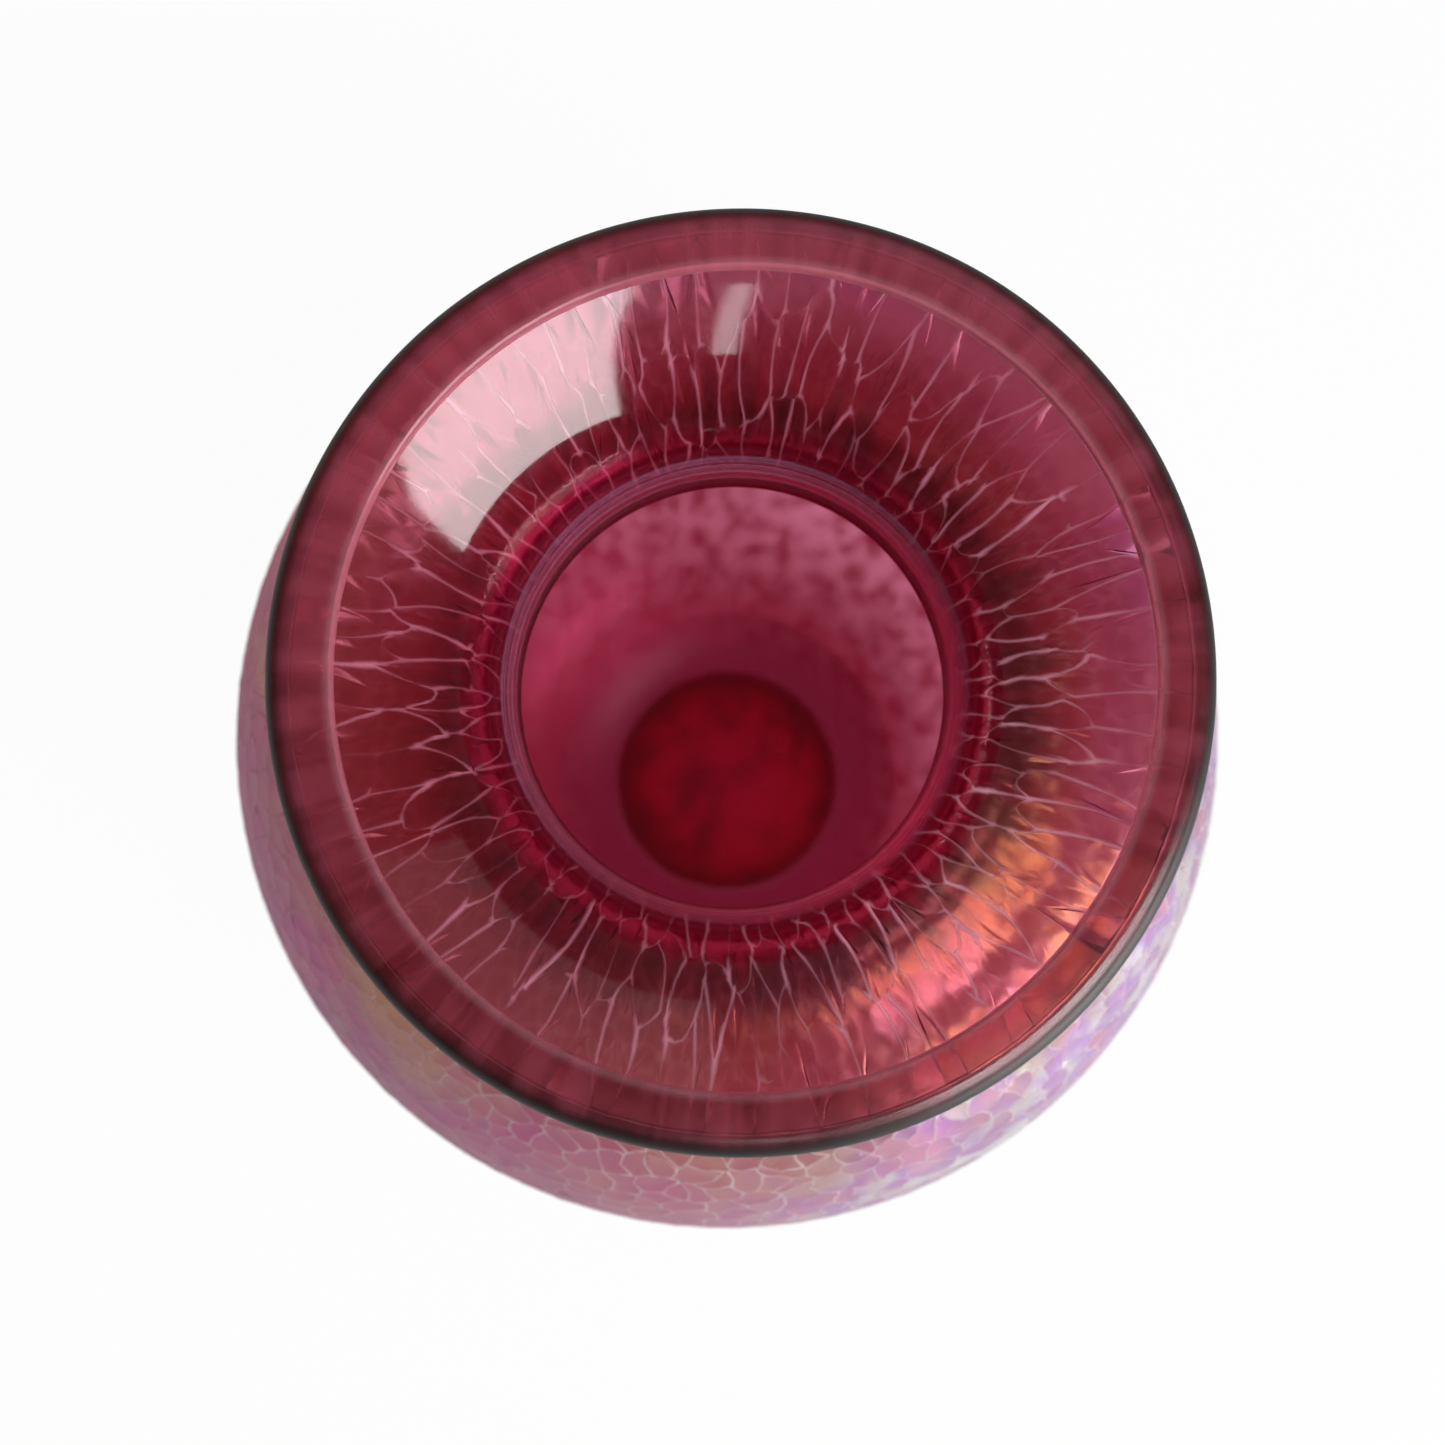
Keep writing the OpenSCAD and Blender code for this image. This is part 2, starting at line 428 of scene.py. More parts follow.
class Paint:
    """The node tree of one material or of the world."""

    def __init__(self, owner, output):
        owner.use_nodes = True
        self.owner = owner
        self.tree = owner.node_tree
        self.tree.nodes.clear()
        self.out = self.tree.nodes.new(output)

    @classmethod
    def material(cls, name):
        return cls(bpy.data.materials.new(name), "ShaderNodeOutputMaterial")

    def add(self, kind, setting, *sockets, give=0, **named):
        """Adds a node: its settings first, then the values or links of its sockets, by place or by name."""
        node = self.tree.nodes.new(kind)
        for key, value in setting.items():
            setattr(node, key, value)
        chosen = list(enumerate(sockets)) + [(key.replace("_", " "), value) for key, value in named.items()]
        for key, value in chosen:
            if isinstance(value, Value):
                self.tree.links.new(value.socket, node.inputs[key])
            else:
                node.inputs[key].default_value = value
        return Value(self, node.outputs[give])

    def maths(self, operation, first, second):
        return self.add("ShaderNodeMath", {"operation": operation}, first, second)

    def place(self):
        """Place on the piece, in metres."""
        return self.add("ShaderNodeTexCoord", {}, give="Object")

    def height(self):
        """Height above the table, in metres."""
        return self.add("ShaderNodeSeparateXYZ", {}, self.place(), give="Z")

    def vectors(self, operation, *sockets, **named):
        return self.add("ShaderNodeVectorMath", {"operation": operation}, *sockets, **named)

    def toward(self, way):
        """Metres from the axis in that direction."""
        return self.vectors("DOT_PRODUCT", self.place(), way, give="Value")

    def noise(self, scale, detail=3.0, stretch=(1, 1, 1)):
        """Even noise from 0 to 1, with that many swells to the metre."""
        place = self.vectors("MULTIPLY", self.place(), stretch)
        return self.add("ShaderNodeTexNoise", {}, Vector=place, Scale=scale, Detail=detail)

    def streaks(self, scale, rise):
        """Noise from 0 to 1 in streaks up the vase, with that many swells to a radian and to the metre."""
        around = self.vectors("NORMALIZE", self.vectors("MULTIPLY", self.place(), (1, 1, 0)))
        upward = self.vectors("MULTIPLY", self.place(), (0, 0, rise / scale))
        both = self.vectors("ADD", around, upward)
        return self.add("ShaderNodeTexNoise", {}, Vector=both, Scale=scale, Detail=3.0)

    def bump(self, strength, distance, height):
        return self.add("ShaderNodeBump", {}, Strength=strength, Distance=distance, Height=height)

    def blend(self, factor, first, second):
        """Colour between two colours."""
        change = tuple(b - a for a, b in zip(first, second))
        return self.vectors("MULTIPLY_ADD", factor, change, tuple(first))

    def attribute(self, name):
        return self.add("ShaderNodeAttribute", {"attribute_name": name}, give="Fac")

    def ray(self, kind):
        """1 for one kind of ray, such as Is Shadow Ray, and 0 for the others."""
        return self.add("ShaderNodeLightPath", {}, give=kind)

    def mix(self, factor, first, second):
        return self.add("ShaderNodeMixShader", {}, factor, first, second)

    def clear(self, colour=(1, 1, 1)):
        return self.add("ShaderNodeBsdfTransparent", {}, (*colour, 1))

    def milky(self, colour, share):
        """Cloudy glass that sends that share of its light on through."""
        back = self.add("ShaderNodeBsdfDiffuse", {}, (*colour, 1))
        through = self.add("ShaderNodeBsdfTranslucent", {}, (*colour, 1))
        return self.mix(share, back, through)

    def glass(self, colour, rough, **named):
        """Clear glass of that colour and roughness."""
        return self.add("ShaderNodeBsdfPrincipled", {}, Base_Color=colour, Roughness=rough, IOR=GLASS_IOR,
                        Transmission_Weight=1.0, **named)

    def lit_glass(self, glass):
        """Glass that lets lamplight straight through, with no surface where it is fused to another layer."""
        unseen = (self.ray("Is Shadow Ray") + self.attribute("fused")).clamp()
        return self.mix(unseen, glass, self.clear())

    def finish(self, surface, absorbed=None, density=0.0):
        """Links the surface, and glass that absorbs light inside, and gives back the material or world."""
        self.tree.links.new(surface.socket, self.out.inputs["Surface"])
        if absorbed is not None:
            volume = self.add("ShaderNodeVolumeAbsorption", {}, Color=(*absorbed, 1), Density=density)
            self.tree.links.new(volume.socket, self.out.inputs["Volume"])
        return self.owner


def ruby_glass():
    """Ruby glass, fire polished in the bell, scored by the jacks in the neck and hazy in the body. It is
    painted dark at the waist of the neck as painted shade, and its scored neck has a violet milk that is
    partly a painted sheen.
    """
    glass = settings().glass
    paint = Paint.material("ruby_glass")
    height = paint.height()
    radius = paint.attribute("radius")
    in_body = 1 - height.ramp(*HAZE_TOP)
    in_neck = height.ramp(*SCORES_LOW) * (1 - height.ramp(*SCORES_TOP))
    # Painted shade: a thin ring at the narrowest part of the neck is painted dark, where the inner wall turns
    # out of sight.
    painted_shade_waist = height.ramp(*PAINTED_SHADE_WAIST_LOW) * (1 - (radius - NECK_RADIUS).ramp(0.3 * MM, 0.55 * MM))
    scores = paint.add(
        "ShaderNodeTexNoise", {"noise_dimensions": "1D"}, W=radius * SCORES_PER_METRE, Scale=1.0, Detail=2.0)
    worn = paint.streaks(5.0, 200.0)
    swell = paint.noise(45.0, 2.0)
    bump = paint.bump(0.35, 0.05 * MM, scores * in_neck + swell * 0.4)
    body = paint.glass(
        paint.blend(painted_shade_waist, (1.0, 0.95, 0.96), (0.1, 0.01, 0.03)),
        0.05 + swell * 0.03 + in_body * 0.24 + in_neck * 0.2, Normal=bump)
    # The scored neck gets a violet milk. It is partly the scatter of its tool lines and partly a painted
    # sheen for the bright reflection on its steep wall.
    scored = in_neck * (1 - painted_shade_waist) * (0.02 + scores.ramp(0.46, 0.58) * (0.14 + worn * 0.4))
    surface = paint.mix(scored, body, paint.milky((0.38, 0.26, 0.46), 0.3))
    return paint.finish(paint.lit_glass(surface), glass.ruby, glass.ruby_density)


def casing_glass():
    """Clear glass with a rose tint, ground dull underneath, with a painted contact shadow on its ground ring.
    """
    glass = settings().glass
    paint = Paint.material("casing_glass")
    grain = paint.noise(2500.0, 2.0)
    outer = paint.attribute("radius").ramp(1.1 * PONTIL_RADIUS, GROUND_RADIUS)
    fleck = paint.noise(300.0, 3.0, FLECK_STRETCH).ramp(0.36, 0.66)
    # Near the middle the ground glass is painted near black, a painted contact shadow where the vase stands
    # on the table. Further out the glass is flecked.
    body = paint.glass(
        (0.05, 0.001, 0.006, 1), 0.25 + grain * 0.15, Normal=paint.bump(0.3, 0.02 * MM, grain))
    flecked = paint.mix(fleck * 0.12, paint.clear((0.24, 0.012, 0.03)), paint.clear(PALE_FLECK))
    ground = paint.mix(outer * 0.9, body, flecked)
    return paint.finish(paint.lit_glass(ground), glass.casing, glass.casing_density)


def lip_glass():
    """Glass of the lip band, with streaks of haze, a painted highlight along its inner edge, and painted
    shade that darkens its round outer edge and one side.
    """
    glass = settings().glass
    paint = Paint.material("lip_glass")
    radius = paint.attribute("radius")
    haze = paint.noise(160.0)
    streak = paint.streaks(16.0, 0.0).ramp(0.38, 0.66)
    # Painted shade: the round outer edge is painted dark.
    edge = radius.ramp(RIM_RADIUS - 2.4 * MM, RIM_RADIUS - 0.4 * MM)
    ring = 1 - (radius - BAND_RADIUS).ramp(0.2 * MM, 1.5 * MM)
    # The band is painted lighter with haze on one side, where the key lamp lights it through the vase, and
    # painted darker across from it, against the light that the bright body sends into it: painted light and
    # painted shade.
    toward = paint.toward(LIP_PAINTED_LIGHT_SIDE)
    far = 1 - toward.ramp(-0.05, -0.01)
    body = paint.glass(
        paint.blend((edge + far * 0.4 + (1 - streak) * 0.1).clamp(), (1.0, 0.9, 0.92), (0.02, 0.002, 0.006)),
        0.12 + haze * 0.1 + edge * 0.35)
    share = 0.06 + toward.ramp(-0.02, 0.05) * 0.22 + streak * 0.16 + haze.ramp(0.35, 0.7) * 0.1
    hazy = paint.mix((1 - edge) * share, body, paint.milky((0.74, 0.16, 0.25), 0.4))
    # A pale milky line along the inner edge of the band is a painted highlight for the bright line on its
    # rounded step.
    hazy = paint.mix(ring * (0.1 + haze * 0.25), hazy, paint.milky((0.85, 0.5, 0.58), 0.4))
    return paint.finish(paint.lit_glass(hazy), glass.lip, glass.lip_density)


def pontil_glass():
    """Deep red glass with soft clouds, with painted shade darkening it towards its edge."""
    glass = settings().glass
    paint = Paint.material("pontil_glass")
    cloud = paint.noise(210.0, 3.0).ramp(0.36, 0.64)
    edge = paint.attribute("radius").ramp(0.6 * PONTIL_RADIUS, 0.98 * PONTIL_RADIUS)
    # Darker in clouds at random, and painted darker towards the edge, a painted shade for the dark ring where
    # the base stands on the table.
    dark = 1 - (1 - edge * 0.92) * (0.2 + cloud * 0.8)
    body = paint.glass(paint.blend(dark, (0.14, 0.0005, 0.012), (0.008, 0.0003, 0.001)), 0.2 + cloud * 0.3)
    return paint.finish(paint.lit_glass(body), glass.pontil, glass.pontil_density)


def skin_tint(paint, height, tone, facing, drift):
    """Colour of the skin: deep in streaks in the throat as painted shade for the shaded groove between bell
    and shoulder, deeper on the lit side below the ring as more painted shade, faded on the flare, and clear
    under the lip.
    """
    # Painted shade: the skin is tinted deep in streaks in the throat, for the shaded groove between bell and
    # shoulder.
    in_throat = height.ramp(*THROAT_LOW) * (1 - height.ramp(*THROAT_TOP))
    flame = paint.streaks(14.0, 40.0).ramp(0.4, 0.62)
    # Painted shade: on the lit side, the flare below the ring is painted deeper.
    lit_side_painted_shade = facing.ramp(0.005, 0.03) * height.ramp(*LIT_SIDE_SHADE_LOW) * (1 - height.ramp(*LIT_SIDE_SHADE_TOP))
    # Light crosses this face once, so it takes on the square root of this colour.
    pale = tuple(c * c for c in settings().glass.plate)
    deep = tuple(c * share for c, share in zip(pale, (0.16, 0.006, 0.03)))
    tint = paint.blend((in_throat * (0.5 + flame * 0.5) + tone * 0.12 + lit_side_painted_shade * 0.25).clamp(), pale, deep)
    faded = paint.blend(drift, (0.17, 0.22, 0.4), (0.15, 0.34, 0.2))
    tint = paint.vectors("ADD", tint, paint.vectors("SCALE", faded, Scale=height.ramp(*FLARE_LOW)))
    under_lip = height.ramp(*UNDER_LIP)
    kept = paint.vectors("SCALE", tint, Scale=1 - under_lip)
    return paint.vectors("MULTIPLY_ADD", under_lip, (0.85, 0.6, 0.66), kept)


def fumed_metal(paint, cloud, tone, bump):
    """Bright film of metal on the body, from pink through violet to pearl."""
    hue = paint.noise(110.0, 3.0) * 1.3 + tone * 0.2
    sheen = paint.blend(hue.ramp(0.5, 0.75), (1.0, 0.62, 0.8), (0.64, 0.46, 0.98))
    pearl = paint.vectors("SCALE", (0.32, 0.56, 0.0), Scale=hue.ramp(0.7, 0.92))
    return paint.add(
        "ShaderNodeBsdfPrincipled", {}, Metallic=1.0, Roughness=0.14 + cloud * 0.12, Normal=bump,
        Base_Color=paint.vectors("ADD", sheen, pearl))


def crackle_lustre():
    """Rose plates between pale milky veins, with a bright thin film on the body."""
    glass = settings().glass
    paint = Paint.material("crackle_lustre")
    tone = paint.attribute("tone")
    height = paint.height()
    cloud = paint.noise(60.0, 4.0)
    drift = paint.noise(38.0, 2.0).ramp(0.35, 0.65)
    # The borders between the zones of the body wave up and down.
    wavy = height + (cloud - 0.5) * 0.05
    in_bowl = 1 - wavy.ramp(*BOWL_TOP)
    low = 1 - wavy.ramp(*FUMED_TOP)
    on_body = 1 - height.ramp(*BODY_TOP)
    facing = paint.toward(LIT_SIDE)
    lit_side = facing.ramp(0.02, 0.055)
    across_bowl = paint.toward(BOWL_PAINTED_LIGHT_SIDE)
    bump = paint.bump(0.25, 0.03 * MM, paint.noise(900.0, 2.0))
    tint = skin_tint(paint, height, tone, facing, drift)
    rough = 0.12 + cloud * 0.1 + low * 0.26
    plain = paint.glass(tint, rough, Normal=bump)
    films = [paint.glass(tint, rough, Normal=bump, Thin_Film_Thickness=thickness, Thin_Film_IOR=2.5)
             for thickness in FILM_NANOMETRES]
    film = paint.mix(low, films[0], paint.mix(cloud.ramp(0.4, 0.6) * 0.6 + tone * 0.4, films[1], films[2]))
    # Seen from inside, the bowl is mottled. Its pale flecks are painted light, with more of them on the side
    # where lamplight comes in through the wall, and fewer towards the foot.
    fleck = paint.noise(320.0, 3.0, FLECK_STRETCH).ramp(0.3, 0.64)
    fleck = fleck * (0.1 + across_bowl.ramp(-0.045, 0.04) * 0.9) * height.ramp(*FLECKS_LOW)
    flecked = paint.mix(fleck, paint.clear((0.24, 0.012, 0.04)), paint.clear(PALE_FLECK))
    lustre = paint.mix(in_bowl * 0.85, paint.mix(on_body, plain, film), flecked)
    lustre = paint.mix(paint.ray("Is Shadow Ray"), lustre, paint.clear(glass.plate))
    # On the side that the key lamp lights, the milk is painted thinner and the metal film stronger: a painted
    # sheen.
    milk = on_body * (0.2 + cloud * 0.24 + tone * 0.08) * (1 - in_bowl * 0.85) * (1 - lit_side * 0.5)
    milk = (milk + height.ramp(*FLARE_LOW) * (0.02 + cloud * 0.08)).clamp()
    plate = paint.mix(milk, lustre, paint.milky(glass.milk, 0.45))
    ringside = height.ramp(*RINGSIDE_LOW) * across_bowl.ramp(-0.005, 0.035) * (1 - height.ramp(*UNDER_LIP))
    plate = paint.mix(ringside * (0.03 + drift * 0.2), plate, paint.milky((0.8, 0.32, 0.8), 0.45))
    grazing = paint.add("ShaderNodeLayerWeight", {}, Blend=0.5, give="Facing")
    lit = 0.03 + lit_side * (0.4 + tone * 0.3) + grazing ** 3 * 0.15
    plate = paint.mix(low * lit * (1 - in_bowl), plate, fumed_metal(paint, cloud, tone, bump))
    vein = paint.attribute("force") * paint.attribute("vein").ramp(0.15, 1.0) ** 2
    pale = paint.mix(on_body, paint.milky(glass.bell_vein, 0.5), paint.milky(glass.vein, 0.5))
    return paint.finish(paint.mix(vein.clamp(), plate, pale))


def fused_side():
    """Inner side of the skin, where it is fused to the casing and no surface shows."""
    paint = Paint.material("fused_side")
    return paint.finish(paint.clear())


# Crackle

class UnrolledSkin:
    """The skin laid flat: cells round the vase by rows of cells from the rim to the foot."""

    def __init__(self):
        crackle = settings().crackle
        self.around = crackle.around
        self.line = smooth(skin_line(), 0.5 * MM)
        self.along = distance_along(self.line)
        heights = self.line[:, 1]
        self.neck = np.argmin(np.where(heights > MOUTH_PART, self.line[:, 0], 1))
        full = np.where(np.arange(len(heights)) < self.neck, crackle.bell_row, crackle.body_row)
        opened = np.clip(np.abs(heights - heights[self.neck]) / (14 * MM), 0, 1) ** 0.8
        size = crackle.neck_row + (full - crackle.neck_row) * opened
        passed = np.concatenate([[0], np.cumsum(np.diff(self.along) * 2 / (size[1:] + size[:-1]))])
        self.rows = round(passed[-1])
        self.passed = passed * self.rows / passed[-1]
        step = unit(np.gradient(self.line, axis=0))
        self.outward = np.column_stack([-step[:, 1], step[:, 0]])

    def at(self, row, values):
        return np.interp(row, self.passed, values)

    def on_bell(self, row):
        return row < self.passed[self.neck]

    def near_neck(self, row):
        """1 at the neck, 0 from two rows away."""
        return max(0.0, 1 - abs(row - self.passed[self.neck]) / 2)

    def near_foot(self, row):
        """0 at the foot, where the crackle is ground away, 1 from two rows above it."""
        return min(1.0, (self.rows - row) / 2)

    def cell_size(self, row):
        """Metres to one cell round the vase and to one row, there."""
        reach = 0.2
        length = (self.at(row + reach, self.along) - self.at(row - reach, self.along)) / (2 * reach)
        return np.array([FULL_TURN * self.at(row, self.line[:, 0]) / self.around, max(length, 1 * MM)])

    def near(self, spot, other):
        """The same spot, on the turn of the vase that lies nearest to the other."""
        turns = np.round((other[0] - spot[0]) / self.around)
        return np.array([spot[0] + turns * self.around, spot[1]])

    def places(self, spots, rise):
        """Points of the skin, raised along its outward normal."""
        spots = np.asarray(spots)
        turn = spots[:, 0] * FULL_TURN / self.around
        r, z = (self.at(spots[:, 1], self.line[:, k]) + rise * self.at(spots[:, 1], self.outward[:, k])
                for k in (0, 1))
        return np.column_stack([r * np.cos(turn), r * np.sin(turn), z])


def scatter_cells(skin):
    """Middles of the cells: rows of them, each strayed from its even place."""
    crackle = settings().crackle
    draw = np.random.default_rng(crackle.seed)
    rows = []
    for row in range(skin.rows):
        count = skin.around if skin.on_bell(row) else round(skin.around * crackle.body_share)
        step = skin.around / count
        strays = draw.uniform(-crackle.jitter, crackle.jitter, (count, 2)) * (step, 1)
        rows.append(strays + [((i + 0.5 * (row % 2)) * step, row + 0.5) for i in range(count)])
    spots = np.vstack(rows)
    spots[:, 1] = np.clip(spots[:, 1], 0.12, skin.rows - 0.12)
    return spots


def crackle_net(skin, spots):
    """Knots of the crackle, and for each cell the loop of its knots."""
    margin, grain = 4, 25
    mirrored = [spots, spots[spots[:, 1] < 2] * (1, -1),
                spots[spots[:, 1] > skin.rows - 2] * (1, -1) + (0, 2 * skin.rows)]
    wide = np.vstack(mirrored)
    wide = np.vstack([wide, wide[wide[:, 0] < margin] + (skin.around, 0),
                      wide[wide[:, 0] > skin.around - margin] - (skin.around, 0)])
    found = geometry.delaunay_2d_cdt([Vector(p) for p in wide], [], [], 0, 1e-9)
    points, triangles = np.array(found[0]), np.array(found[2])
    place_of = {first: v for v, firsts in enumerate(found[3]) for first in firsts}
    a, b, c = (points[triangles[:, k]] for k in range(3))
    ab, ac = b - a, c - a
    twice = 2 * cross(ab, ac)
    ab2, ac2 = (ab ** 2).sum(axis=1), (ac ** 2).sum(axis=1)
    off = np.column_stack([ac[:, 1] * ab2 - ab[:, 1] * ac2, ab[:, 0] * ac2 - ac[:, 0] * ab2])
    centres = a + off / twice[:, None]
    touching = [[] for _ in points]
    for i, triangle in enumerate(triangles):
        for v in triangle:
            touching[v].append(i)
    knots, index, loops = [], {}, []
    for cell, spot in enumerate(spots):
        ring = centres[touching[place_of[cell]]]
        loop = []
        for k in np.argsort(np.arctan2(ring[:, 1] - spot[1], ring[:, 0] - spot[0])):
            # Knots that all but meet are one knot.
            key = (round(ring[k, 0] * grain) % (skin.around * grain), round(ring[k, 1] * grain))
            if key not in index:
                index[key] = len(knots)
                knots.append((ring[k, 0] % skin.around, min(max(ring[k, 1], 0), skin.rows)))
            if index[key] not in loop:
                loop.append(index[key])
        loops.append(loop)
    return knots, loops


class Veins:
    """Points along the veins between knots, made once and shared by the cells on both sides."""

    def __init__(self, skin, knots):
        self.skin = skin
        self.draw = np.random.default_rng(settings().crackle.seed + 1)
        self.spots = [tuple(k) for k in knots]
        self.force = [0.0] * len(knots)
        self.made = {}

    def between(self, a, b):
        """Indices of the points from knot a to knot b, without the knots."""
        key = (min(a, b), max(a, b))
        if key not in self.made:
            self.made[key] = self.vein(*key)
        return self.made[key] if a < b else self.made[key][::-1]

    def on_border(self, a, b):
        rows = self.spots[a][1], self.spots[b][1]
        return max(rows) < TOUCH or min(rows) > self.skin.rows - TOUCH

    def vein(self, a, b):
        """Makes the points of a vein, and gives them and its two knots their force."""
        if self.on_border(a, b):
            return []
        start = np.array(self.spots[a])
        row = start[1]
        span = self.skin.near(np.array(self.spots[b]), start) - start
        size = self.skin.cell_size(row)
        upright = abs(span[1] * size[1]) / np.linalg.norm(span * size)
        if self.skin.on_bell(row):
            # Veins that run up the bell are strong. Those across it are faint, most of all by the lip.
            force = (0.12 + 0.88 * upright ** 2) * self.draw.uniform(0.2, 1.0) ** 1.4
            force *= upright ** 4 if row + span[1] / 2 < LIP_ROWS else 1.0
        else:
            force = (0.5 + 0.5 * upright) * self.draw.uniform(0.4, 1.0)
        # Veins are drawn faint at the neck, a painted shade where they lie in the shaded throat. They also
        # fade at the foot, where the crackle is ground away.
        force *= (1 - 0.8 * self.skin.near_neck(row)) * self.skin.near_foot(row)
        bend, fade = self.draw.uniform(-0.2, 0.2), self.draw.uniform(-1.8, 1.8)
        ids = []
        parts = 4 if self.skin.on_bell(row) else 2
        for k in range(1, parts):
            t = k / parts
            spot = start + span * t + np.array([-span[1], span[0]]) * bend * math.sin(math.pi * t)
            ids.append(len(self.spots))
            self.spots.append((spot[0] % self.skin.around, min(max(spot[1], 0), self.skin.rows)))
            self.force.append(force * (1 - 0.25 * math.sin(math.pi * t) + fade * (t - 0.5)))
        self.force[a], self.force[b] = max(self.force[a], force), max(self.force[b], force)
        return ids


def heart_of(edge):
    """Point in a cell that sees the whole of its edge."""
    heart = edge.mean(axis=0)
    span = np.roll(edge, -1, axis=0) - edge
    area = cross(edge, span).sum()
    inward = np.sign(area) * np.column_stack([-span[:, 1], span[:, 0]])
    inward /= np.maximum(np.linalg.norm(span, axis=1), 1e-9)[:, None]
    tries, least, wanted = 60, 0.2 * MM, 0.25 * MM
    for _ in range(tries):
        room = ((heart - edge) * inward).sum(axis=1)
        nearest = np.argmin(room)
        if room[nearest] > least:
            break
        heart = heart + inward[nearest] * (wanted - room[nearest])
    return heart


def crackle_mesh():
    """The skin as swollen cells between raised veins, closed by a smooth inner side."""
    crackle = settings().crackle
    skin = UnrolledSkin()
    middles = scatter_cells(skin)
    knots, loops = crackle_net(skin, middles)
    veins = Veins(skin, knots)
    rings = []
    for loop in loops:
        rings.append([v for a, b in zip(loop, loop[1:] + loop[:1]) for v in (a, *veins.between(a, b))])
    spots, force = list(veins.spots), np.array(veins.force)
    # Veins end before the rim.
    force[[spot[1] < 0.02 for spot in spots]] = 0.0
    swell = [0.4 if skin.on_bell(spot[1]) else 1.0 for spot in spots]
    rise, vein, strength = list(force * swell * crackle.vein_height), [1.0] * len(spots), list(force)
    knotted = np.arange(len(spots)) < len(knots)
    draw = np.random.default_rng(crackle.seed + 2)
    faces, tones = [], []
    for ring, middle in zip(rings, middles):
        size = skin.cell_size(middle[1])
        edge = np.array([skin.near(np.array(spots[v]), middle) - middle for v in ring]) * size
        heart = heart_of(edge)
        edge = edge - heart
        along = np.roll(edge, -1, axis=0) - np.roll(edge, 1, axis=0)
        clear = np.abs(cross(edge, along)) / np.linalg.norm(along, axis=1)
        knot = knotted[ring].astype(float)
        web = np.maximum(knot, 0.45 * np.maximum(np.roll(knot, 1), np.roll(knot, -1)))
        width = 0.5 * (crackle.vein_width + (crackle.knot_width - crackle.vein_width) * web)
        width *= 1.0 if skin.on_bell(middle[1]) else 0.6
        # Every point of the plate lies on a straight way from the vein to the heart of the cell.
        shrink = np.minimum(width * (0.35 + 0.65 * force[ring]) / np.maximum(clear, 0.1 * MM), 0.6)
        plate = heart + edge * (1 - shrink[:, None])
        first, count = len(spots), len(ring)
        spots += [tuple(middle + place / size) for place in plate]
        spots.append(tuple(middle + heart / size))
        rise += [0.0] * count + [crackle.pillow * (0.2 if skin.on_bell(middle[1]) else 1.0)]
        vein += [0.0] * (count + 1)
        strength += [*force[ring], 0.0]
        for k in range(count):
            m = (k + 1) % count
            faces += [(ring[m], ring[k], first + k, first + m), (first + m, first + k, first + count)]
        tones += [draw.random()] * (2 * count)
    outside = skin.places(spots, np.array(rise))
    # The inner side has the knots alone, and meets the outside along the rim and the foot.
    depth = skin_depth() - FUSED_GAP
    inside = np.vstack([skin.places(knots, -depth), skin.places(middles, -depth)])
    first, outer_faces = len(outside), len(faces)
    for cell, loop in enumerate(loops):
        for a, b in zip(loop, loop[1:] + loop[:1]):
            faces.append((first + a, first + b, first + len(knots) + cell))
            if veins.on_border(a, b):
                faces.append((a, b, first + b, first + a))
    # The inner side and the end at the rim are fused to other glass. The end at the foot shows.
    ends = np.array([k >= outer_faces and len(face) == 4 for k, face in enumerate(faces)])
    sides = np.array([k >= outer_faces and not (end and spots[face[0]][1] > 0.5)
                      for k, (face, end) in enumerate(zip(faces, ends))])
    none = np.zeros(len(inside))
    return (np.vstack([outside, inside]), faces, np.append(vein, none), np.append(strength, none),
            np.append(tones, np.zeros(len(faces) - outer_faces)), sides, ends)


def skin_depth():
    """Thickness of the crackled skin, at the widest part of the body."""
    return section("crackle_skin")[:, 0].max() - section("crystal_casing")[:, 0].max()


# Operators

def finish_piece(piece, material, slot, *nodes):
    """Gives a piece its material and its place in the frame."""
    piece.data.materials.append(material)
    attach(piece, "root")
    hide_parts(*nodes)


class VASE_OT_ruby_bubble(bpy.types.Operator):
    """Thin ruby glass that lines the cavity and the bell"""

    bl_idname = "vase.ruby_bubble"
    bl_label = "Ruby bubble"

    def execute(self, context):
        line = section("ruby_bubble")
        top = np.argmax(line[:, 1])
        inside, outside = line[:top + 1], line[top + 1:]
        under_band, shown = (part[::-1] for part in cut(inside[::-1], 0, BAND_RADIUS))
        under_band = under_band - (0, FUSED_GAP)
        end = np.vstack([under_band[-1:], outside[:1]]) - (FUSED_GAP, 0)
        piece = turned("ruby_layer", [
            (shown, False), (under_band[:-1], True), (end, True), (outside[1:], True)], 1.15 * MM)
        finish_piece(piece, ruby_glass(), "ruby_glass", "ruby_bubble")
        return {"FINISHED"}


class VASE_OT_crystal_casing(bpy.types.Operator):
    """Clear casing over the ruby, ground level underneath"""

    bl_idname = "vase.crystal_casing"
    bl_label = "Crystal casing"

    def execute(self, context):
        line = section("crystal_casing")
        top = np.argmax(line[:, 1])
        inside, outside = offset(line[:top + 1], FUSED_GAP), line[top + 1:]
        under_skin, heel = cut(outside, 1, SKIN_FOOT + skin_depth())
        ground, seat = heel[:-2], heel[-3:].copy()
        seat[0, 1] = PONTIL_EDGE
        end = np.vstack([inside[-1:], outside[:1]]) - (FUSED_GAP, 0)
        piece = turned("casing_layer", [
            (inside[:-1], True), (end, True), (under_skin[1:], True),
            (np.vstack([ground, seat[:1]]), False), (seat, True)], 1.0 * MM)
        finish_piece(piece, casing_glass(), "clear_crystal", "crystal_casing")
        return {"FINISHED"}


